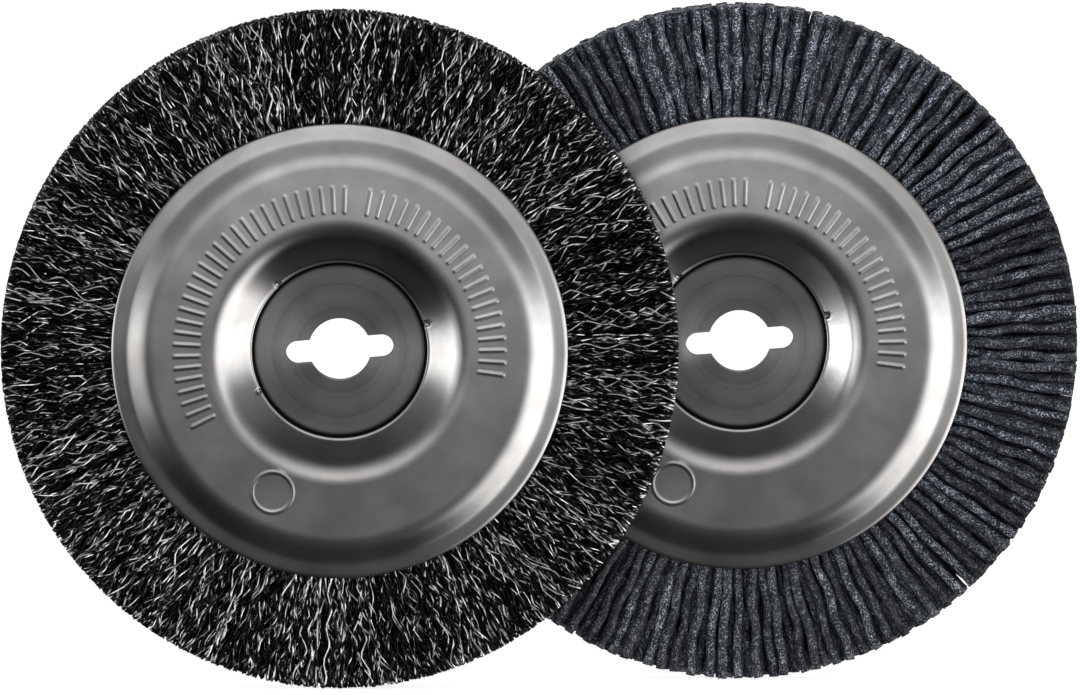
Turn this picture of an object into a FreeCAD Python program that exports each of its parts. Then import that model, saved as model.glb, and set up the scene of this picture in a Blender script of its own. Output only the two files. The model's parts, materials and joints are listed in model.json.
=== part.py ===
"""A pair of wheel brushes: crimped steel wire in front, abrasive nylon filament behind.

Each brush is a wheel with its axis along Y. Two pressed steel flanges are staked to a turned hub with a keyed
bore, and clamp strands that are folded like hairpins over a wire ring. The nylon brush is centred on the
origin, and the wire brush stands in front of it (-Y) and to its left (-X). Lengths are in millimetres.
"""

import FreeCAD
import Part

import math
import os

V = FreeCAD.Vector
AXIS = V(0, 1, 0)
MITRED = 1  # a sweep's way round corners

# The pair
BRUSH_DIAMETER = 110.0
BRUSH_SPACING = 65.0  # sideways, from one bore axis to the other
CROWN_GAP = 0.3  # between the planes of the crowns that face each other

# Keyed hub, turned from bar
BORE_DIAMETER = 10.2
KEY_LENGTH = 17.5  # across both key slots
KEY_WIDTH = 3.85
KEY_ANGLE = 4.5  # degrees, of the key slots above the X axis
WEB_DIAMETER = 27.5  # the thin middle that an arbor clamps
WEB_THICKNESS = 4.0
SHOULDER_WIDTH = 5.4  # between the flanges
SHOULDER_OVERLAP = 3.3  # of the shoulder behind the flange, outside its opening

# Pressed flange, drawn from one blank of sheet
SHEET = 0.9
FLANGE_DIAMETER = 74.2
OPENING_CLEARANCE = 0.5  # round the hub's web
FOOT_WIDTH = 0.35  # of the flat seat on the hub, then of each zone from the hub out or from the rim in
DISH_WIDTH = 5.0
BEVEL_WIDTH = 3.2
LIP_WIDTH = 2.6
BEVEL_RISE = 1.48
CROWN_TILT = 3.3  # degrees, falling towards the rim
LIP_TILT = 9.0
FOOT_BEND = 0.5  # bend radii on the outer face
DISH_BEND = 5.0
BEVEL_BEND = 6.5
LIP_BEND = 2.5
STAKE_ANGLES = (17.0, 133.0, 207.0)  # punch marks that lock the flange to the hub
STAKE_RADIUS = 0.55
STAKE_DEPTH = 0.3

# Strands, folded over the core ring in nested layers
CORE_INSET = 5.1  # of the core ring, inside the flange rim
CORE_WIRE_DIAMETER = 2.0
STRAND_DIAMETER = 1.4
STRAND_CLEARANCE = 0.1
FAN_ANGLE = 1.5  # degrees, of each leg away from the middle plane
CRIMP_START = 1.0  # of straight leg outside the flange rim
CRIMP_HALF_WAVES = 4
CRIMP_ANGLE = 16.0  # degrees, the slope of the zigzag
FOLD_TURNS = 4  # corners of each fold
FILL_INSET = 1.0  # of the middle fill, inside the strand tips

LAYERS = ("inner", "outer")
BRUSH_RADIUS = BRUSH_DIAMETER / 2
RIM_RADIUS = FLANGE_DIAMETER / 2
OPENING_RADIUS = WEB_DIAMETER / 2 + OPENING_CLEARANCE
FOOT_RADIUS = OPENING_RADIUS + FOOT_WIDTH
DISH_RADIUS = FOOT_RADIUS + DISH_WIDTH
LIP_RADIUS = RIM_RADIUS - LIP_WIDTH
BEVEL_RADIUS = LIP_RADIUS - BEVEL_WIDTH
CORE_RADIUS = RIM_RADIUS - CORE_INSET
FAN = math.radians(FAN_ANGLE)


def bend_radius(layer):
    """Radius of the fold of one layer of strands, from the core wire's centre to the strand's."""
    first = (CORE_WIRE_DIAMETER + STRAND_DIAMETER) / 2 + STRAND_CLEARANCE
    return first + layer * (STRAND_DIAMETER + STRAND_CLEARANCE)


def fanned(half_width, radius):
    """Height of a face of the strand stack that is half_width from the middle plane at the core ring."""
    return half_width / math.cos(FAN) + (radius - CORE_RADIUS) * math.tan(FAN)


def flange_corners():
    """Corners of the flange's outer face, as (radius, height above the middle plane), from hub to rim."""
    stack = fanned(bend_radius(len(LAYERS) - 1) + STRAND_DIAMETER / 2, RIM_RADIUS)
    tilt = math.tan(math.radians(LIP_TILT))
    seat = SHOULDER_WIDTH / 2 + SHEET
    rim = stack + STRAND_CLEARANCE + SHEET / math.cos(math.radians(LIP_TILT))
    lip = rim + (RIM_RADIUS - LIP_RADIUS) * tilt
    bevel = lip + BEVEL_RISE
    dish = bevel + (BEVEL_RADIUS - DISH_RADIUS) * math.tan(math.radians(CROWN_TILT))
    return [
        (OPENING_RADIUS, seat),
        (FOOT_RADIUS, seat),
        (DISH_RADIUS, dish),
        (BEVEL_RADIUS, bevel),
        (LIP_RADIUS, lip),
        (RIM_RADIUS, rim),
    ]


def turn_at(before, corner, after):
    """Signed turn of a path at a corner, in radians, positive to the left."""
    inward = math.atan2(corner[1] - before[1], corner[0] - before[0])
    outward = math.atan2(after[1] - corner[1], after[0] - corner[0])
    return outward - inward


def offset_corners(corners, distance):
    """The corners of a path that runs at a distance on the right of another one."""
    angles = [math.atan2(b[1] - a[1], b[0] - a[0]) for a, b in zip(corners, corners[1:])]
    moved = []
    for i, (x, y) in enumerate(corners):
        before = angles[max(i - 1, 0)]
        after = angles[min(i, len(angles) - 1)]
        middle = (before + after) / 2
        reach = distance / math.cos((after - before) / 2)
        moved.append((x + reach * math.sin(middle), y - reach * math.cos(middle)))
    return moved


def rounded_path(corners, bends):
    """Lines and tangent arcs along an open path in the X-Y plane, with one bend radius per inner corner."""
    points = [V(x, y, 0) for x, y in corners]
    edges = []
    start = points[0]
    for before, corner, after, bend in zip(points, points[1:], points[2:], bends):
        into = (corner - before).normalize()
        out = (after - corner).normalize()
        half = into.getAngle(out) / 2
        leave = corner - into * (bend * math.tan(half))
        join = corner + out * (bend * math.tan(half))
        inside = (out - into).normalize()
        middle = corner + inside * (bend / math.cos(half) - bend)
        edges.append(Part.LineSegment(start, leave).toShape())
        edges.append(Part.Arc(leave, middle, join).toShape())
        start = join
    edges.append(Part.LineSegment(start, points[-1]).toShape())
    return edges


def on_front(corners):
    """Mirrors (radius, height) corners to the front of the wheel, where heights run along -Y."""
    return [(radius, -height) for radius, height in corners]


def turned(corners):
    """A solid of revolution about the wheel's axis from a closed outline of (radius, height) corners."""
    outline = [V(radius, height, 0) for radius, height in corners]
    return Part.Face(Part.makePolygon(outline + outline[:1])).revolve(V(), AXIS, 360)


def flange():
    """Front flange: a dished ring of sheet, its outer face towards -Y, with the punch marks of its stakes."""
    outer = flange_corners()
    inner = offset_corners(outer, SHEET)
    bends = [FOOT_BEND, DISH_BEND, BEVEL_BEND, LIP_BEND]
    turns = [turn_at(*three) for three in zip(outer, outer[1:], outer[2:])]
    inner_bends = [bend + math.copysign(SHEET, turn) for bend, turn in zip(bends, turns)]
    edges = rounded_path(on_front(outer), bends) + rounded_path(on_front(inner), inner_bends)
    for one, other in zip(on_front(outer)[:: len(outer) - 1], on_front(inner)[:: len(inner) - 1]):
        edges.append(Part.LineSegment(V(*one, 0), V(*other, 0)).toShape())
    section = Part.Face(Part.Wire(Part.__sortEdges__(edges)))
    dish = section.revolve(V(), AXIS, 360)
    stake_radius = (OPENING_RADIUS + FOOT_RADIUS) / 2
    height = outer[0][1] + STAKE_RADIUS - STAKE_DEPTH
    punches = []
    for angle in STAKE_ANGLES:
        turn = math.radians(angle)
        tip = V(stake_radius * math.cos(turn), -height, stake_radius * math.sin(turn))
        punches.append(Part.makeSphere(STAKE_RADIUS, tip))
    return dish.cut(punches)


def hub():
    """Turned hub: a shoulder that the flanges sit on, and a thinner web inside it with the keyed bore."""
    seat = SHOULDER_WIDTH / 2
    face = WEB_THICKNESS / 2
    web = WEB_DIAMETER / 2
    shoulder = OPENING_RADIUS + SHOULDER_OVERLAP
    upper = [(shoulder, seat), (web, seat), (web, face), (0, face)]
    lower = [(radius, -height) for radius, height in reversed(upper)]
    body = turned(upper + lower)
    bore = Part.makeCylinder(BORE_DIAMETER / 2, 2 * face, V(0, -face, 0), AXIS)
    end = (KEY_LENGTH - KEY_WIDTH) / 2
    slot = Part.makeBox(2 * end, 2 * face, KEY_WIDTH, V(-end, -face, -KEY_WIDTH / 2))
    ends = [Part.makeCylinder(KEY_WIDTH / 2, 2 * face, V(side * end, -face, 0), AXIS) for side in (-1, 1)]
    key = slot.fuse(ends)
    key.rotate(V(), AXIS, -KEY_ANGLE)
    return body.cut([bore, key])


def core_ring():
    """Wire ring that the strands are folded over."""
    return Part.makeTorus(CORE_RADIUS, CORE_WIRE_DIAMETER / 2, V(), AXIS)


def middle_fill():
    """The rows of strands between the innermost legs, as one ring that thickens towards the tips."""
    start = CORE_RADIUS + CORE_WIRE_DIAMETER / 2 + STRAND_CLEARANCE
    end = BRUSH_RADIUS - FILL_INSET
    upper = [(radius, fanned(CORE_WIRE_DIAMETER / 2, radius)) for radius in (start, end)]
    lower = [(radius, -height) for radius, height in reversed(upper)]
    return turned(upper + lower)


def crimped_leg(crimp_angle):
    """Corners of a crimped leg outside the flanges, as (radius, sideways): a zigzag about its middle line."""
    slope = math.radians(crimp_angle)
    start = RIM_RADIUS + CRIMP_START
    tip = BRUSH_RADIUS - STRAND_DIAMETER / 2 * math.sin(slope)
    half_wave = (tip - start) / CRIMP_HALF_WAVES
    reach = half_wave / 2 * math.tan(slope)
    corners = [(start, 0)]
    for i in range(CRIMP_HALF_WAVES):
        corners.append((start + (i + 0.5) * half_wave, reach * (-1) ** i))
    return corners + [(tip, 0)]


def fold_corners(fold):
    """Corners of the fold over the core ring, as (radius, height), each side tangent to the fold's circle."""
    side = (math.pi - 2 * FAN) / FOLD_TURNS
    reach = fold / math.cos(side / 2)
    turns = [1.5 * math.pi - FAN - (i + 0.5) * side for i in range(FOLD_TURNS)]
    return [(CORE_RADIUS + reach * math.cos(turn), reach * math.sin(turn)) for turn in turns]


def strand(layer, leg):
    """One hairpin in the X-Y plane: in along its front leg, over the core ring and out along its rear leg."""
    fold = bend_radius(layer)
    rear = [V(radius, fanned(fold, radius), sideways) for radius, sideways in leg]
    front = [V(point.x, -point.y, point.z) for point in rear]
    path = front[::-1] + [V(radius, height, 0) for radius, height in fold_corners(fold)] + rear
    section = Part.Wire(Part.makeCircle(STRAND_DIAMETER / 2, path[0], path[1] - path[0]))
    sweep = Part.BRepOffsetAPI.MakePipeShell(Part.makePolygon(path))
    sweep.setTransitionMode(MITRED)
    sweep.add(section)
    sweep.build()
    sweep.makeSolid()
    return sweep.shape()


def strands_per_layer():
    """As many hairpins as fit side by side where the outer layer's folds are closest to the hub."""
    tightest = CORE_RADIUS - bend_radius(len(LAYERS) - 1)
    return math.floor(2 * math.pi * tightest / (STRAND_DIAMETER + STRAND_CLEARANCE))


def strand_layer(layer, leg):
    """All hairpins of one layer, each layer half a pitch round from the one under it."""
    count = strands_per_layer()
    first = strand(layer, leg)
    turns = [(i + layer / 2) * 360 / count for i in range(count)]
    return Part.makeCompound([first.rotated(V(), AXIS, turn) for turn in turns])


def brush(name, leg, centre):
    """The named pieces of one brush with such legs, and with its bore's middle at centre."""
    front = flange()
    pieces = {
        "front_flange": front,
        "rear_flange": front.rotated(V(), V(0, 0, 1), 180),
        "hub": hub(),
        "core_ring": core_ring(),
        "middle_fill": middle_fill(),
    }
    for layer, label in enumerate(LAYERS):
        pieces[f"{label}_strands"] = strand_layer(layer, leg)
    return {f"{name}_{piece}": shape.translated(centre) for piece, shape in pieces.items()}


def main():
    os.makedirs("parts", exist_ok=True)
    crown_height = -flange().optimalBoundingBox(False).YMin
    behind = 2 * crown_height + CROWN_GAP
    nodes = brush("nylon", [(BRUSH_RADIUS, 0)], V())
    nodes.update(brush("wire", crimped_leg(CRIMP_ANGLE), V(-BRUSH_SPACING, -behind, 0)))
    for name, shape in nodes.items():
        shape.exportStep(f"parts/{name}.step")
        box = shape.BoundBox
        print(f"{name}: {len(shape.Solids)} solids, valid {shape.isValid()}, {shape.Volume:.0f} mm3, "
              f"Y {box.YMin:.3f} to {box.YMax:.3f}, X {box.XMin:.2f} to {box.XMax:.2f}")
    print(f"{strands_per_layer()} strands in a layer, crown height {crown_height:.4f}, "
          f"wire brush at Y {-behind:.4f}")


main()
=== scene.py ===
"""Looks of a pair of wheel brushes: crimped steel wire in front of abrasive nylon, on a white ground.

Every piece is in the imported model's frame, in metres. Each brush has its axis along Y and its
photographed face towards -Y. Pieces made here are modelled about their brush's centre, with lengths in
millimetres until the mesh is made.
"""

import json
import math

import bpy
import numpy as np
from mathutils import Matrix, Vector


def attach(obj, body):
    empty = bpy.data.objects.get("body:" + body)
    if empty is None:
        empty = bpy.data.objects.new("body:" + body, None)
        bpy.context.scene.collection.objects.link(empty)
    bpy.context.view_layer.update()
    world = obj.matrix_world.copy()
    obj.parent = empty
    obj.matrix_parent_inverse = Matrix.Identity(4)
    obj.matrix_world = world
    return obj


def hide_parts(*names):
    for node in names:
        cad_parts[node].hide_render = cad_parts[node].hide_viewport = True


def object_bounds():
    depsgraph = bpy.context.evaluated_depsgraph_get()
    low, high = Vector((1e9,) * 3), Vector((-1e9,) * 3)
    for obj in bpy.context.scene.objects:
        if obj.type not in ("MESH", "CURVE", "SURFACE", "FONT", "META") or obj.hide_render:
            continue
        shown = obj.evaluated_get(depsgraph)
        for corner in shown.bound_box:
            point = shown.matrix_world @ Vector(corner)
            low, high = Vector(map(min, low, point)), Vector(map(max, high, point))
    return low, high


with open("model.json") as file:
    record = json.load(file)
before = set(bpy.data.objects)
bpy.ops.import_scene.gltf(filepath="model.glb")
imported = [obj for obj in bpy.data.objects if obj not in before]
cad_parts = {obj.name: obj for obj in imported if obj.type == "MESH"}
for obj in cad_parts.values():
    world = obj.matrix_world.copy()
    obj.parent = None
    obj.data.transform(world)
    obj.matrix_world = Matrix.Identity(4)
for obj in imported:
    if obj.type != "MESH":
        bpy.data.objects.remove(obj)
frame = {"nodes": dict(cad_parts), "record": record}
cad_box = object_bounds()

MM = 0.001
SEED = 2527

# Pressed flange: corners of its outer face as (radius, height above the middle plane), and the bends there
SHEET = 0.9
FLANGE_CORNERS = [(14.25, 3.6), (14.6, 3.6), (19.6, 7.713), (31.3, 7.038), (34.5, 5.558), (37.1, 5.146)]
FLANGE_BENDS = [0.15, 0.5, 5.0, 6.5, 2.5, 0.3]
SHEET_BENDS = [0.1, 1.4, 4.1, 5.6, 3.4, 0.2]  # on the inner face
STAKE_ANGLES = (17.0, 133.0, 207.0)
STAKE_RING = 14.6
STAKE_SIZE = 0.55
STAKE_DEPTH = 0.3
STAKE_ZONE = 16.0  # the mesh is close inside this radius
WAVE_HEIGHT = 0.012
WAVE_START = 16.0
WAVE_FADE = 4.0
FRONT_COLUMNS = 870
REAR_COLUMNS = 360
MARK_SPACING = 0.2  # greatest distance of the points along the section, by zone
PLAIN_SPACING = 0.55
INNER_SPACING = 1.2

# Raised marks on the crown: plain bars in two runs, and a plain ring
MARK_HEIGHT = 0.1
MARK_EDGE = 0.3
MARK_ZONE = (21.0, 29.0)  # the mesh is close between these radii
BAR_MIDDLE = 24.8
BAR_LENGTH = 4.6
BAR_WIDTH = 0.75
BAR_RUNS = ((88.0, 207.0, 29), (-8.0, 79.0, 21))  # first and last angle in degrees, and how many
RING_PLACE = (25.2, 244.5)  # radius, and angle in degrees
RING_RADIUS = 3.3
RING_WIDTH = 0.7

# Strands outside the flanges. Pairs are the least and the most of a random value.
RIM_RADIUS = 37.1
BRUSH_RADIUS = 55.0
WIRE_INSET = 2.2  # how far inside the rim the wires start
WIRE_SIDES = 4
WIRE_RADIUS = (0.16, 0.205)
WIRE_LEAN = 0.14  # standard deviation, in millimetres per millimetre
WIRE_BOW = 0.005  # standard deviation, per millimetre
WIRE_WAVELENGTH = (5.2, 8.2)
WIRE_AMPLITUDE = (0.4, 0.85)
WIRE_TIP_CUT = (0.0, 0.1)
WIRE_HALF_WIDTH = 3.5  # of the fill at the inner ends
WIRE_SPREAD = 1.3  # what the tips add to it
WIRE_HALF_LIMIT = 5.6
WIRE_FREE_RUN = 4.0  # length over which the flanges let go of the wires
WIRE_HELD_SWAY = 0.4  # share of the sideways crimp that shows where they are still held
WIRE_OUTSIDE_LIGHT = 0.8  # how strongly the outside wires are the bright ones: painted light on the wires on top, painted shade on the inner ones
NYLON_INSET = 3.0
NYLON_SIDES = 10
NYLON_SAMPLES = 24
NYLON_RADIUS = (0.7, 0.82)
NYLON_LEAN = 0.014
NYLON_WAVELENGTH = (8.0, 14.0)
NYLON_AMPLITUDE = (0.1, 0.32)
NYLON_TIP_CUT = (0.0, 0.16)
NYLON_JITTER = (-0.16, 0.16)  # of the place, in shares of the pitch
NYLON_STAGGER = 0.28
NYLON_HALF_WIDTH = 3.25
NYLON_SPREAD = 1.0
NYLON_HEIGHT_WAVE = 0.3  # share of the sideways wave that goes to the front and back
NYLON_UNEVEN = 0.05  # share of the thickness
NYLON_SHADED_ROW_GRIT = 0.2  # of the middle row, as a share of the outer rows' grit; the inner rows are darker as painted shade between the rows

# Bands of wires: name, wires, their places as shares of the half width, points on each, replaced node
WIRE_BANDS = (
    ("wire_front_fill", 1150, (0.72, 1.0), 22, "wire_outer_strands"),
    ("wire_front_inner_fill", 1150, (0.4, 0.75), 20, "wire_outer_strands"),
    ("wire_front_middle_fill", 800, (0.0, 0.45), 18, "wire_middle_fill"),
    ("wire_rear_middle_fill", 800, (-0.45, 0.0), 18, "wire_inner_strands"),
    ("wire_rear_inner_fill", 1000, (-0.75, -0.4), 20, "wire_outer_strands"),
    ("wire_rear_fill", 1150, (-1.0, -0.72), 22, "wire_outer_strands"),
)

# Rows of filaments: name, filaments, turn in pitches, share of the half width, straying, replaced nodes
NYLON_ROWS = (
    ("nylon_front_row", 132, 0.0, 1.0, 1.0, ["nylon_outer_strands"]),
    ("nylon_front_middle_row", 190, 0.5, 0.5, 1.0, ["nylon_inner_strands"]),
    ("nylon_middle_row", 230, 0.25, 0.0, 0.3, ["nylon_middle_fill"]),
    ("nylon_rear_middle_row", 190, 0.5, -0.5, 1.0, []),
    ("nylon_rear_row", 132, 0.0, -1.0, 1.0, []),
)

# Painted shade in the groove outside the hub's boss: the radii where it starts and is full, and where its
# colour ramp ends
GROOVE_SHADE_START = 13.5
GROOVE_SHADE_FULL = 13.8
GROOVE_SHADE_RAMP = 50.0

CAMERA_DISTANCE = 4000.0
CAMERA_ELEVATION = 4.93  # degrees
PHOTO_WIDTH = 1080
PHOTO_HEIGHT = 695
PHOTO_SCALE = 0.16263  # millimetres per pixel at the brushes
AIM_PIXEL = (540.05, 344.4)  # the middle between the two brush centres
SENSOR = 36.0

FLOOR_GAP = 0.2
FLOOR_HALF = 50.0  # in metres
FLOOR_GLOW = 0.86

WHITE = (1.0, 1.0, 1.0, 1.0)

# Light tent, by the parts of a direction of length 1. The pairs are where a light fades in.
TENT_LIGHT = 2.0
TENT = (  # the upward part, and the share of the light there
    (-1.0, 0.006), (-0.8, 0.022), (-0.4, 0.033), (-0.2, 0.085), (-0.087, 0.135), (0.02, 0.25),
    (0.2, 0.56), (0.44, 0.55), (0.68, 0.27), (0.9, 0.03), (1.0, 0.015),
)
TENT_INWARDS = (-0.6, 0.0)
TENT_SIDE_SHARE = 0.2
RIGHT_LIGHT = 2.2
RIGHT_OUTWARDS = (0.22, 0.62)
RIGHT_UPWARDS = (-0.75, -0.5)
RIGHT_DOWNWARDS = (-0.24, 0.0)
LEFT_LIGHT = 1.4
LEFT_OUTWARDS = (0.5, 0.66)
LEFT_UPWARDS = (-0.4, -0.15)
LEFT_DOWNWARDS = (-0.28, -0.05)
LEFT_CORE = (0.7, 0.9)
LEFT_CORE_SHARES = (0.6, 1.6)  # of the left light, before its core and in it
SIDES_FORWARDS = (-0.5, -0.1)
SIDES_BEHIND_SHARE = 0.35


def centre_of(brush):
    """Middle of a brush's bore, in metres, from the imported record."""
    for mount in frame["record"]["mounts"]:
        if mount["name"] == f"{brush}_bore":
            return Vector(mount["pos_m"])


CENTRES = {brush: centre_of(brush) for brush in ("wire", "nylon")}


# Meshes


def add_piece(name, brush, points, faces, material, tint=None):
    """A smooth mesh piece from points in millimetres about the brush's centre, which rides on that brush."""
    mesh = bpy.data.meshes.new(name)
    corners = faces.shape[1]
    mesh.vertices.add(len(points))
    mesh.vertices.foreach_set("co", (points * MM).astype(np.float32).ravel())
    mesh.loops.add(faces.size)
    mesh.loops.foreach_set("vertex_index", faces.astype(np.int32).ravel())
    mesh.polygons.add(len(faces))
    mesh.polygons.foreach_set("loop_start", np.arange(0, faces.size, corners, dtype=np.int32))
    mesh.polygons.foreach_set("use_smooth", np.ones(len(faces), dtype=bool))
    if tint is not None:
        mesh.attributes.new("tint", "FLOAT", "POINT").data.foreach_set("value", tint.astype(np.float32))
    mesh.update(calc_edges=True)
    mesh.validate()
    mesh.materials.append(material)
    piece = bpy.data.objects.new(name, mesh)
    bpy.context.scene.collection.objects.link(piece)
    piece.location = CENTRES[brush]
    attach(piece, f"{brush}_brush")
    return piece


def smooth_ramp(value):
    """0 below 0, 1 above 1, and a smooth step between them."""
    x = np.clip(value, 0, 1)
    return x * x * (3 - 2 * x)


def unit(vectors):
    """Vectors of length 1 along the last axis."""
    return vectors / np.linalg.norm(vectors, axis=-1, keepdims=True)


# Flanges


def offset_path(corners, distance):
    """Corners of a path that runs at a distance on the right of another one."""
    points = np.array(corners, float)
    headings = unit(np.diff(points, axis=0))
    rights = np.stack([headings[:, 1], -headings[:, 0]], axis=1)
    before = np.vstack([rights[:1], rights])
    after = np.vstack([rights, rights[-1:]])
    middle = unit(before + after)
    reach = distance / np.sum(middle * before, axis=1)
    return points + middle * reach[:, None]


def rounded_loop(corners, bends, spacing):
    """Points along a closed outline with rounded corners, no further apart than spacing(radius, outer)."""
    corners = np.array(corners, float)
    into = unit(corners - np.roll(corners, 1, axis=0))
    out = np.roll(into, -1, axis=0)
    half = np.arccos(np.clip(np.sum(into * out, axis=1), -1, 1)) / 2
    reach = np.array(bends) * np.tan(half)
    leave = corners - into * reach[:, None]
    join = corners + out * reach[:, None]
    points = []
    for i, bend in enumerate(bends):
        outer = 2 * i < len(bends)
        step = spacing(corners[i][0], outer)
        inside = unit(out[i] - into[i])
        hub = corners[i] + inside * bend / math.cos(half[i])
        count = max(2, math.ceil(2 * half[i] * bend / step))
        start = math.atan2(*(leave[i] - hub)[::-1])
        end = math.atan2(*(join[i] - hub)[::-1])
        sweep = (end - start + math.pi) % (2 * math.pi) - math.pi
        for k in range(count + 1):
            angle = start + sweep * k / count
            points.append(hub + bend * np.array([math.cos(angle), math.sin(angle)]))
        run = leave[(i + 1) % len(bends)] - join[i]
        count = math.ceil(np.linalg.norm(run) / spacing(join[i][0] + run[0] / 2, outer))
        for k in range(1, count):
            points.append(join[i] + run * k / count)
    return np.array(points)


def bar_height(radius, angle):
    """Raised plain bars, evenly spaced along the crown in two runs."""
    height = np.zeros_like(radius)
    along = smooth_ramp((BAR_LENGTH / 2 - np.abs(radius - BAR_MIDDLE)) / MARK_EDGE)
    for first, last, count in BAR_RUNS:
        pitch = (last - first) / (count - 1)
        turned = (angle - first + 90) % 360 - 90
        nearest = np.clip(np.round(turned / pitch), 0, count - 1) * pitch
        across = np.abs(turned - nearest) * np.pi / 180 * radius
        height = np.maximum(height, along * smooth_ramp((BAR_WIDTH / 2 - across) / MARK_EDGE))
    return height * MARK_HEIGHT


def ring_height(radius, angle):
    """A raised plain ring on the crown."""
    turn = np.radians(angle)
    place = math.radians(RING_PLACE[1])
    x = radius * np.cos(turn) - RING_PLACE[0] * math.cos(place)
    z = radius * np.sin(turn) - RING_PLACE[0] * math.sin(place)
    edge = np.abs(np.hypot(x, z) - RING_RADIUS)
    return MARK_HEIGHT * smooth_ramp((RING_WIDTH / 2 - edge) / MARK_EDGE)


def stake_height(radius, angle):
    """Punch marks beside the hub, below the surface."""
    depth = np.zeros_like(radius)
    for stake in STAKE_ANGLES:
        turn = np.radians(angle - stake)
        distance = np.hypot(radius - STAKE_RING, radius * np.sin(turn))
        mark = smooth_ramp(1.2 - distance / STAKE_SIZE) * (np.cos(turn) >= 0)
        depth = np.maximum(depth, mark)
    return -STAKE_DEPTH * depth


def press_waves(radius, angle):
    """Slight unevenness that drawing leaves in the sheet."""
    turn = np.radians(angle)
    slow = np.sin(3 * turn + 0.4) + 0.7 * np.sin(5 * turn + 2.1 + radius / 9)
    quick = 0.5 * np.sin(11 * turn + radius / 3) + 0.35 * np.sin(17 * turn - radius / 2 + 1.3)
    return WAVE_HEIGHT * (slow + quick) * smooth_ramp((radius - WAVE_START) / WAVE_FADE)


def flange_profile(spacing):
    """Closed section of the sheet as (radius, height) points, and which of them are on its outer face."""
    inner = offset_path(FLANGE_CORNERS, SHEET)
    corners = FLANGE_CORNERS + [tuple(point) for point in inner[::-1]]
    points = rounded_loop(corners, FLANGE_BENDS + SHEET_BENDS[::-1], spacing)
    middle = offset_path(FLANGE_CORNERS, SHEET / 2)
    level = np.interp(points[:, 0], middle[:, 0], middle[:, 1])
    return points, points[:, 1] > level


def flange(name, brush, columns, spacing, marked, rear, material):
    """One flange as a ring of quads. The marked ones carry the raised marks on their outer face."""
    profile, outer = flange_profile(spacing)
    along = unit(np.roll(profile, -1, axis=0) - np.roll(profile, 1, axis=0))
    normal = np.stack([-along[:, 1], along[:, 0]], axis=1)
    angle = np.arange(columns) * 360 / columns
    radius, turn = np.meshgrid(profile[:, 0], angle, indexing="ij")
    height = np.repeat(profile[:, 1:], columns, axis=1)
    relief = stake_height(radius, turn)
    if marked:
        relief = relief + bar_height(radius, turn) + ring_height(radius, turn)
    relief = relief * outer[:, None]
    height = height + normal[:, 1:] * relief + press_waves(radius, turn)
    radius = radius + normal[:, :1] * relief
    side = np.radians(turn)
    facing = 1 if rear else -1
    points = np.stack([-facing * radius * np.cos(side), facing * height, radius * np.sin(side)], axis=-1)
    rows = len(profile)
    cell = np.arange(rows * columns).reshape(rows, columns)
    down = np.roll(cell, -1, axis=0)
    faces = np.stack([cell, down, np.roll(down, -1, axis=1), np.roll(cell, -1, axis=1)], axis=-1)
    piece = add_piece(name, brush, points.reshape(-1, 3), faces.reshape(-1, 4), material)
    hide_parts(f"{brush}_{'rear' if rear else 'front'}_flange")


def fine_spacing(radius, outer):
    """Close rows where the marks and punch marks are, wider ones elsewhere."""
    if not outer:
        return INNER_SPACING
    marked = MARK_ZONE[0] < radius < MARK_ZONE[1] or radius < STAKE_ZONE
    return MARK_SPACING if marked else PLAIN_SPACING


def coarse_spacing(radius, outer):
    """Wide rows at every radius."""
    return PLAIN_SPACING if outer else INNER_SPACING


# Strands


def tubes(paths, radii, sides):
    """Points and quads of round tubes with closed ends, for paths shaped (strand, point, xyz)."""
    strands, count, _ = paths.shape
    heading = unit(np.gradient(paths, axis=1))
    across = unit(np.cross(heading, (0.0, 1.0, 0.0)))
    over = np.cross(across, heading)
    turn = np.arange(sides) * 2 * np.pi / sides
    ring = np.cos(turn)[:, None] * across[:, :, None] + np.sin(turn)[:, None] * over[:, :, None]
    points = paths[:, :, None] + ring * radii[:, :, None, None]
    cell = np.arange(strands * count * sides).reshape(strands, count, sides)
    near = cell[:, :-1]
    far = cell[:, 1:]
    walls = np.stack([near, np.roll(near, -1, axis=2), np.roll(far, -1, axis=2), far], axis=-1)
    half = sides // 2
    caps = []
    for end, order in ((cell[:, 0], 1), (cell[:, -1], -1)):
        for k in range(half - 1):
            quad = [end[:, k], end[:, sides - 1 - k], end[:, sides - 2 - k], end[:, k + 1]][::order]
            caps.append(np.stack(quad, axis=-1))
    faces = np.concatenate([walls.reshape(-1, 4), np.concatenate(caps)])
    return points.reshape(-1, 3), faces


def crimp(phase):
    """A rounded zigzag wave."""
    return np.sin(phase) - 0.07 * np.sin(3 * phase)


def wheel_paths(radius, angle, height):
    """Paths in the brush's own axes from radius, angle in radians and height towards the front."""
    return np.stack([radius * np.cos(angle), -height, radius * np.sin(angle)], axis=-1)


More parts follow.
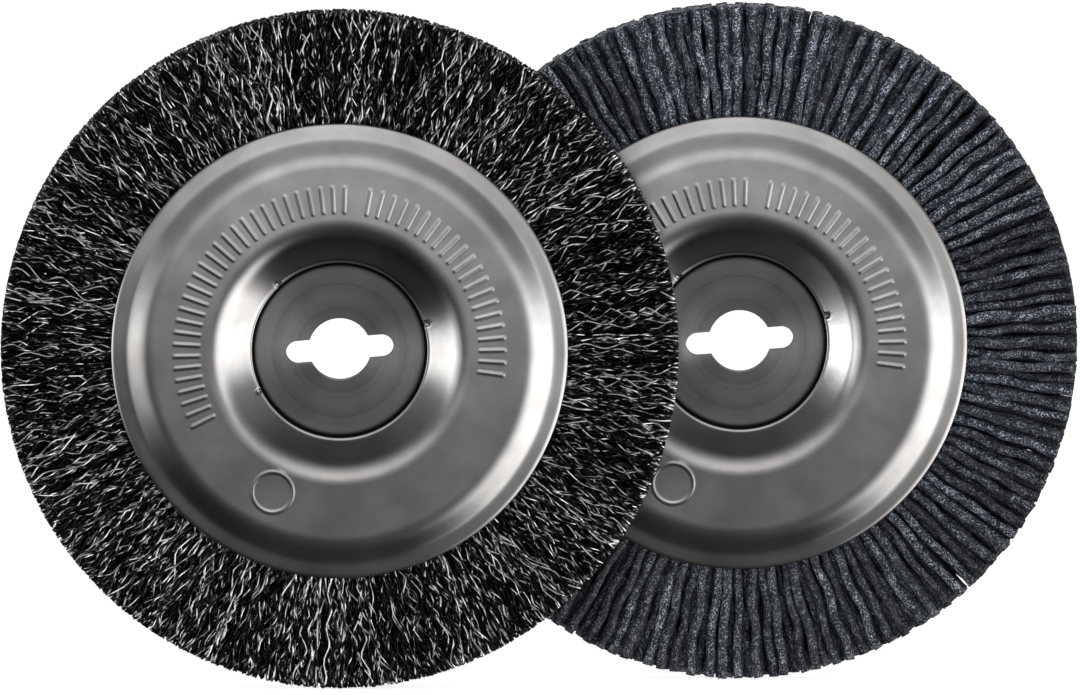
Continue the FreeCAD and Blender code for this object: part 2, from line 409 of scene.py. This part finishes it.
def wire_paths(random, count, front, samples):
    """Crimped wires in one band of the fill, front = (least, most) share of its width at the tips."""
    start = RIM_RADIUS - WIRE_INSET
    share = np.linspace(0, 1, samples)[None, :]
    tip = BRUSH_RADIUS - random.uniform(*WIRE_TIP_CUT, (count, 1))
    radius = start + (tip - start) * share
    run = radius - start
    slot = (np.arange(count)[:, None] + random.uniform(-0.5, 0.5, (count, 1))) / count
    level = random.uniform(*front, (count, 1))
    lean = random.normal(0.0, WIRE_LEAN, (count, 1))
    bow = random.normal(0.0, WIRE_BOW, (count, 1))
    wavelength = random.uniform(*WIRE_WAVELENGTH, (count, 1))
    amplitude = random.uniform(*WIRE_AMPLITUDE, (count, 1))
    roll = random.uniform(0, 2 * np.pi, (count, 1))
    phase = random.uniform(0, 2 * np.pi, (count, 1)) + run * 2 * np.pi / wavelength
    wave = amplitude * crimp(phase)
    free = smooth_ramp(run / WIRE_FREE_RUN)
    sway = WIRE_HELD_SWAY + (1 - WIRE_HELD_SWAY) * free
    sideways = lean * run + bow * run**2 + wave * np.cos(roll) * sway
    angle = slot * 2 * np.pi + sideways / radius
    width = WIRE_HALF_WIDTH + WIRE_SPREAD * np.clip(run / (BRUSH_RADIUS - start), 0, 1)
    height = level * width + wave * np.sin(roll) * free
    return wheel_paths(radius, angle, np.clip(height, -WIRE_HALF_LIMIT, WIRE_HALF_LIMIT))


def rank(values):
    """Each value's place in the sorted order, from 0 up to 1."""
    return np.argsort(np.argsort(values)) / len(values)


def wire_band(random, material, name, count, front, samples, node):
    """One band of the wire brush's fill. The wires on its outside are painted brighter, as the lit ones, and
    those inside darker, as shaded, over a random tone of each wire.
    """
    paths = wire_paths(random, count, front, samples)
    thickness = random.uniform(*WIRE_RADIUS, (count, 1)) * np.ones((1, samples))
    points, faces = tubes(paths, thickness, WIRE_SIDES)
    outside = np.abs(paths[:, :, 1]).mean(axis=1)
    # A random tone for each wire, plus painted light on the outside wires and painted shade on the inner
    # ones.
    tone_and_light = rank(random.uniform(0, 1, count) + WIRE_OUTSIDE_LIGHT * rank(outside))
    tint = np.repeat(tone_and_light, samples * WIRE_SIDES)
    piece = add_piece(name, "wire", points, faces, material, tint)
    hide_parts(node)


def nylon_row(random, material, name, count, offset, level, stray, nodes):
    """One row of nylon filaments, with the pale grit that each one shows as its tint. The inner rows get
    less of it and so are darker, as painted shade between the rows.

    offset is the row's turn in shares of the pitch, level its height as a share of the fill's half width,
    and stray how far the filaments wander.
    """
    start = RIM_RADIUS - NYLON_INSET
    share = np.linspace(0, 1, NYLON_SAMPLES)[None, :]
    tip = BRUSH_RADIUS - random.uniform(*NYLON_TIP_CUT, (count, 1))
    radius = start + (tip - start) * share
    run = radius - start
    slot = (np.arange(count)[:, None] + offset + random.uniform(*NYLON_JITTER, (count, 1))) / count
    lean = random.normal(0.0, NYLON_LEAN * stray, (count, 1))
    stagger = NYLON_STAGGER * (-1.0) ** np.arange(count)[:, None]
    wavelength = random.uniform(*NYLON_WAVELENGTH, (count, 1))
    amplitude = random.uniform(*NYLON_AMPLITUDE, (count, 1)) * stray
    phase = random.uniform(0, 2 * np.pi, (count, 1)) + run * 2 * np.pi / wavelength
    sideways = lean * run + amplitude * np.sin(phase)
    angle = slot * 2 * np.pi + sideways / radius
    width = NYLON_HALF_WIDTH + NYLON_SPREAD * run / (BRUSH_RADIUS - start)
    height = level * width + stagger + NYLON_HEIGHT_WAVE * amplitude * np.cos(phase)
    uneven = 1 + NYLON_UNEVEN * np.sin(run * 1.7 + slot * 300)
    thickness = random.uniform(*NYLON_RADIUS, (count, 1)) * uneven
    points, faces = tubes(wheel_paths(radius, angle, height), thickness, NYLON_SIDES)
    # Random grit for each filament, cut down in the inner rows as painted shade between the rows.
    grit = random.uniform(0, 1, count) * (NYLON_SHADED_ROW_GRIT + (1 - NYLON_SHADED_ROW_GRIT) * abs(level))
    tint = np.repeat(grit, NYLON_SAMPLES * NYLON_SIDES)
    piece = add_piece(name, "nylon", points, faces, material, tint)
    if nodes:
        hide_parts(*nodes)


# Materials


class Nodes:
    """A node tree, with short calls to add and join nodes."""

    def __init__(self, tree):
        self.tree = tree

    def add(self, kind, settings=None, **inputs):
        """A new node, with inputs named as its sockets are, with _ for a space."""
        node = self.tree.nodes.new(kind)
        for key, value in (settings or {}).items():
            setattr(node, key, value)
        for key, value in inputs.items():
            self.set(node, key.replace("_", " "), value)
        return node

    def set(self, node, key, value):
        """Links a socket to an input, or sets the input to a constant."""
        socket = node.inputs[key]
        if isinstance(value, bpy.types.NodeSocket):
            self.tree.links.new(value, socket)
        else:
            socket.default_value = value

    def math(self, operation, first, second=0.0):
        node = self.tree.nodes.new("ShaderNodeMath")
        node.operation = operation
        self.set(node, 0, first)
        self.set(node, 1, second)
        return node.outputs[0]

    def times(self, first, *others):
        """The product of all the values."""
        for other in others:
            first = self.math("MULTIPLY", first, other)
        return first

    def noise(self, vector, scale, detail=3.0, roughness=0.55):
        """Noise of about 0 to 1, with scale cells to a metre."""
        inputs = {"Vector": vector, "Scale": scale, "Detail": detail, "Roughness": roughness}
        return self.add("ShaderNodeTexNoise", None, **inputs).outputs[0]

    def ramp(self, value, *stops):
        """A colour ramp through (place, colour) stops."""
        node = self.tree.nodes.new("ShaderNodeValToRGB")
        elements = node.color_ramp.elements
        while len(elements) < len(stops):
            elements.new(0.5)
        for element, (place, colour) in zip(elements, stops):
            element.position = place
            element.color = colour
        self.set(node, 0, value)
        return node.outputs[0]

    def span(self, value, low, high):
        """Maps 0 to 1 on to low to high."""
        node = self.add("ShaderNodeMapRange", None, Value=value, To_Min=low, To_Max=high)
        return node.outputs[0]

    def step(self, value, low, high):
        """A smooth step, from 0 at low to 1 at high."""
        settings = {"interpolation_type": "SMOOTHSTEP"}
        node = self.add("ShaderNodeMapRange", settings, Value=value, From_Min=low, From_Max=high)
        return node.outputs[0]

    def bump(self, height, distance, strength=1.0):
        node = self.add("ShaderNodeBump", None, Height=height, Distance=distance, Strength=strength)
        return node.outputs[0]

    def place(self, centre=(0.0, 0.0, 0.0)):
        """Place on the piece, measured from a centre."""
        coordinates = self.add("ShaderNodeTexCoord").outputs["Object"]
        node = self.tree.nodes.new("ShaderNodeVectorMath")
        node.operation = "SUBTRACT"
        self.set(node, 0, coordinates)
        self.set(node, 1, centre)
        return node.outputs[0]


class Surface(Nodes):
    """The nodes of a new material, which end in its one shader."""

    def __init__(self, name):
        self.material = bpy.data.materials.new(name)
        self.material.use_nodes = True
        super().__init__(self.material.node_tree)

    def finish(self, **inputs):
        """Sets the shader's inputs and gives the material."""
        shader = self.tree.nodes["Principled BSDF"]
        for key, value in inputs.items():
            self.set(shader, key.replace("_", " "), value)
        return self.material


def grey(value):
    """A neutral colour."""
    return (value, value, value, 1.0)


def flange_steel():
    """Satin pressed sheet: mottled, faintly stained and slightly uneven."""
    nodes = Surface("flange_steel")
    place = nodes.place()
    mottle = nodes.noise(place, 130.0, 3.0, 0.5)
    stain = nodes.noise(place, 55.0, 2.0)
    dark = (0.475, 0.465, 0.46, 1.0)
    light = (0.655, 0.645, 0.635, 1.0)
    colour = nodes.ramp(mottle, (0.3, dark), (0.72, light))
    tinted = nodes.add("ShaderNodeMix", {"data_type": "RGBA", "blend_type": "MULTIPLY"})
    nodes.set(tinted, 0, 0.5)
    nodes.set(tinted, 6, colour)
    nodes.set(tinted, 7, nodes.ramp(stain, (0.4, (0.84, 0.81, 0.79, 1.0)), (0.62, WHITE)))
    return nodes.finish(
        Base_Color=tinted.outputs[2],
        Metallic=1.0,
        Roughness=0.25,
        Normal=nodes.bump(mottle, 0.00003, 0.3),
    )


def hub_steel(brush):
    """Turned steel: fine concentric tool marks round the bore, and painted shade in the groove outside the
    boss.
    """
    nodes = Surface(f"hub_steel_{brush}")
    place = nodes.place(CENTRES[brush])
    parts = nodes.add("ShaderNodeSeparateXYZ", None, Vector=place).outputs
    squares = nodes.math("ADD", nodes.math("POWER", parts[0], 2.0), nodes.math("POWER", parts[2], 2.0))
    radius = nodes.math("SQRT", squares)
    rings = nodes.add("ShaderNodeTexNoise", {"noise_dimensions": "1D"}, W=radius, Scale=3200.0, Detail=3.0)
    bands = nodes.add("ShaderNodeTexNoise", {"noise_dimensions": "1D"}, W=radius, Scale=520.0, Detail=2.0)
    mottle = nodes.noise(place, 220.0, 4.0)
    shade = nodes.math("ADD", nodes.times(bands.outputs[0], 0.6), nodes.times(mottle, 0.4))
    around = nodes.add("ShaderNodeTangent", {"direction_type": "RADIAL", "axis": "Y"}).outputs[0]
    colour = nodes.add("ShaderNodeMix", {"data_type": "RGBA", "blend_type": "MULTIPLY"})
    nodes.set(colour, 0, 1.0)
    nodes.set(colour, 6, nodes.ramp(shade, (0.32, grey(0.2)), (0.68, grey(0.32))))
    # Painted shade: near black outside the boss, in the groove.
    outward = nodes.times(radius, 1 / (GROOVE_SHADE_RAMP * MM))
    unshaded = (GROOVE_SHADE_START / GROOVE_SHADE_RAMP, WHITE)
    shaded = (GROOVE_SHADE_FULL / GROOVE_SHADE_RAMP, grey(0.04))
    nodes.set(colour, 7, nodes.ramp(outward, unshaded, shaded))
    return nodes.finish(
        Base_Color=colour.outputs[2],
        Metallic=1.0,
        Roughness=nodes.span(rings.outputs[0], 0.38, 0.56),
        Anisotropic=0.85,
        Anisotropic_Rotation=0.25,
        Tangent=around,
        Normal=nodes.bump(rings.outputs[0], 0.00004, 0.5),
    )


def brush_wire():
    """Dark steel wire, oxidised or rubbed bright to its own degree. Its darkest tones are also painted shade
    among the wires, and the bright patches along each wire are painted glints that break the highlights
    short.
    """
    nodes = Surface("brush_wire")
    place = nodes.place()
    tint = nodes.add("ShaderNodeAttribute", {"attribute_name": "tint"}).outputs["Fac"]
    own = nodes.times(tint, 90.0)
    inputs = {"Vector": place, "W": own, "Scale": 520.0, "Detail": 1.0}
    oxide_and_glints = nodes.add("ShaderNodeTexNoise", {"noise_dimensions": "4D"}, **inputs).outputs[0]
    # The ramp below paints near-black shade among the wires and bright painted glints in patches along them,
    # over the oxide and rubbed metal.
    mixed = nodes.math("ADD", nodes.times(tint, 0.32), nodes.times(oxide_and_glints, 0.9))
    return nodes.finish(
        Base_Color=nodes.ramp(
            mixed,
            (0.55, grey(0.015)),
            (0.655, grey(0.05)),
            (0.715, grey(0.45)),
            (0.77, grey(0.95)),
        ),
        Metallic=1.0,
        Roughness=nodes.span(oxide_and_glints, 0.16, 0.32),
    )


def abrasive_nylon():
    """Matt blue-grey filament, full of pale abrasive grit."""
    nodes = Surface("abrasive_nylon")
    place = nodes.place()
    tint = nodes.add("ShaderNodeAttribute", {"attribute_name": "tint"}).outputs["Fac"]
    grit = nodes.noise(place, 3800.0, 2.0, 0.7)
    patch = nodes.noise(place, 420.0, 3.0)
    specks = nodes.math("ADD", grit, nodes.times(nodes.math("SUBTRACT", patch, 0.5), 0.25))
    darkest = (0.003, 0.0045, 0.008, 1.0)
    lightest = (0.008, 0.012, 0.02, 1.0)
    speck = (0.52, 0.565, 0.64, 1.0)
    # The tint sets each filament's darkness and grit; the inner rows' low tint is painted shade between the
    # rows.
    base = nodes.ramp(tint, (0.0, darkest), (1.0, lightest))
    pale = nodes.ramp(specks, (0.53, grey(0.0)), (0.66, speck))
    mix = nodes.add("ShaderNodeMix", {"data_type": "RGBA", "blend_type": "ADD"})
    nodes.set(mix, 0, nodes.span(tint, 0.25, 1.0))
    nodes.set(mix, 6, base)
    nodes.set(mix, 7, pale)
    return nodes.finish(
        Base_Color=mix.outputs[2],
        Roughness=nodes.span(grit, 0.28, 0.5),
        Specular_IOR_Level=0.42,
        Normal=nodes.bump(specks, 0.0002, 1.0),
    )


def ring_steel():
    """Drawn wire of the hidden core rings."""
    nodes = Surface("ring_steel")
    streak = nodes.noise(nodes.place(), 600.0, 3.0)
    return nodes.finish(
        Base_Color=nodes.ramp(streak, (0.3, grey(0.3)), (0.7, grey(0.45))),
        Metallic=1.0,
        Roughness=nodes.span(streak, 0.3, 0.45),
    )


# Stage


def floor(level):
    """A large pale floor under the brushes, with a glow of its own that keeps it white."""
    half = FLOOR_HALF
    corners = [(-half, -half, level), (half, -half, level), (half, half, level), (-half, half, level)]
    mesh = bpy.data.meshes.new("floor")
    mesh.from_pydata(corners, [], [(0, 1, 2, 3)])
    material = Surface("floor").finish(
        Base_Color=grey(0.8),
        Roughness=0.9,
        Emission_Color=WHITE,
        Emission_Strength=FLOOR_GLOW,
    )
    mesh.materials.append(material)
    plane = bpy.data.objects.new("floor", mesh)
    bpy.context.scene.collection.objects.link(plane)
    plane.visible_glossy = False


def studio():
    """A light tent as the world: bright above the camera, dark overhead and below, a broad light each side.

    The side lights are weaker behind the brushes. Where the camera itself looks past the floor, it sees
    plain white.
    """
    world = bpy.data.worlds.new("studio")
    world.use_nodes = True
    bpy.context.scene.world = world
    nodes = Nodes(world.node_tree)
    direction = nodes.add("ShaderNodeTexCoord").outputs["Generated"]
    x, y, z = nodes.add("ShaderNodeSeparateXYZ", None, Vector=direction).outputs
    left = nodes.times(x, -1.0)
    forwards = nodes.times(y, -1.0)
    down = nodes.times(z, -1.0)
    inwards = nodes.times(nodes.math("ABSOLUTE", x), -1.0)

    place = nodes.math("ADD", nodes.times(z, 0.5), 0.5)
    stops = [((height + 1) / 2, grey(share)) for height, share in TENT]
    narrow = nodes.span(nodes.step(inwards, *TENT_INWARDS), TENT_SIDE_SHARE, 1.0)
    tent = nodes.times(nodes.ramp(place, *stops), TENT_LIGHT, narrow)

    right_height = nodes.times(nodes.step(z, *RIGHT_UPWARDS), nodes.step(down, *RIGHT_DOWNWARDS))
    right_light = nodes.times(nodes.step(x, *RIGHT_OUTWARDS), right_height, RIGHT_LIGHT)
    left_height = nodes.times(nodes.step(z, *LEFT_UPWARDS), nodes.step(down, *LEFT_DOWNWARDS))
    core = nodes.span(nodes.step(left, *LEFT_CORE), *LEFT_CORE_SHARES)
    left_light = nodes.times(nodes.step(left, *LEFT_OUTWARDS), core, left_height, LEFT_LIGHT)
    ahead = nodes.span(nodes.step(forwards, *SIDES_FORWARDS), SIDES_BEHIND_SHARE, 1.0)
    sides = nodes.times(nodes.math("ADD", right_light, left_light), ahead)

    total = nodes.math("ADD", sides, tent)
    seen = nodes.add("ShaderNodeLightPath").outputs["Is Camera Ray"]
    unseen = nodes.math("SUBTRACT", 1.0, seen)
    shown = nodes.math("ADD", nodes.times(total, unseen), seen)
    background = nodes.tree.nodes["Background"]
    nodes.set(background, "Strength", shown)
    nodes.set(background, "Color", WHITE)


def lamp(name, place, direction, size, power, glossy):
    """A rectangular lamp that the camera doesn't see, with its place and size in millimetres."""
    data = bpy.data.lights.new(name, "AREA")
    data.shape = "RECTANGLE"
    data.size = size[0] * MM
    data.size_y = size[1] * MM
    data.energy = power
    light = bpy.data.objects.new(name, data)
    bpy.context.scene.collection.objects.link(light)
    light.location = Vector(place) * MM
    light.rotation_euler = Vector(direction).to_track_quat("-Z", "Y").to_euler()
    light.visible_camera = False
    light.visible_glossy = glossy


def lamps():
    """A lamp above the nylon, and a small card that lights the dish that the wire brush would keep dark."""
    lamp(
        "nylon_lamp",
        place=(5.0, -80.0, 140.0),
        direction=(0.0, 0.5, -0.85),
        size=(120.0, 30.0),
        power=0.2,
        glossy=False,
    )
    lamp(
        "dish_card",
        place=(-9.4, -11.0, -1.9),
        direction=(1.0, 0.1, 0.0),
        size=(6.0, 2.6),
        power=0.0005,
        glossy=True,
    )


def camera():
    """A long lens straight at the faces and a little above them."""
    data = bpy.data.cameras.new("camera")
    data.sensor_width = SENSOR
    data.lens = CAMERA_DISTANCE * SENSOR / (PHOTO_WIDTH * PHOTO_SCALE)
    data.clip_end = 100.0
    eye = bpy.data.objects.new("camera", data)
    bpy.context.scene.collection.objects.link(eye)
    elevation = math.radians(CAMERA_ELEVATION)
    back = Vector((0.0, -math.cos(elevation), math.sin(elevation)))
    up = Vector((0.0, math.sin(elevation), math.cos(elevation)))
    right = Vector((1.0, 0.0, 0.0))
    middle = (CENTRES["wire"] + CENTRES["nylon"]) / 2
    across = (PHOTO_WIDTH / 2 - AIM_PIXEL[0]) * PHOTO_SCALE * MM
    down = (PHOTO_HEIGHT / 2 - AIM_PIXEL[1]) * PHOTO_SCALE * MM
    target = middle + right * across - up * down
    eye.location = target + back * CAMERA_DISTANCE * MM
    eye.rotation_euler = (math.pi / 2 - elevation, 0.0, 0.0)
    bpy.context.scene.camera = eye


def dress(node, material):
    """Gives a CAD node its finished material."""
    data = frame["nodes"][node].data
    data.materials.clear()
    data.materials.append(material)


def main():
    """Makes every piece, the stage, the lights and the camera."""
    random = np.random.default_rng(SEED)
    steel = flange_steel()
    wire = brush_wire()
    nylon = abrasive_nylon()
    core = ring_steel()
    for brush in CENTRES:
        flange(f"{brush}_front_plate", brush, FRONT_COLUMNS, fine_spacing, True, False, steel)
        flange(f"{brush}_rear_plate", brush, REAR_COLUMNS, coarse_spacing, False, True, steel)
        dress(f"{brush}_hub", hub_steel(brush))
        dress(f"{brush}_core_ring", core)
    for band in WIRE_BANDS:
        wire_band(random, wire, *band)
    for row in NYLON_ROWS:
        nylon_row(random, nylon, *row)
    floor(cad_box[0].z - FLOOR_GAP * MM)
    studio()
    lamps()
    camera()
    bpy.context.scene.view_settings.view_transform = "Standard"


main()
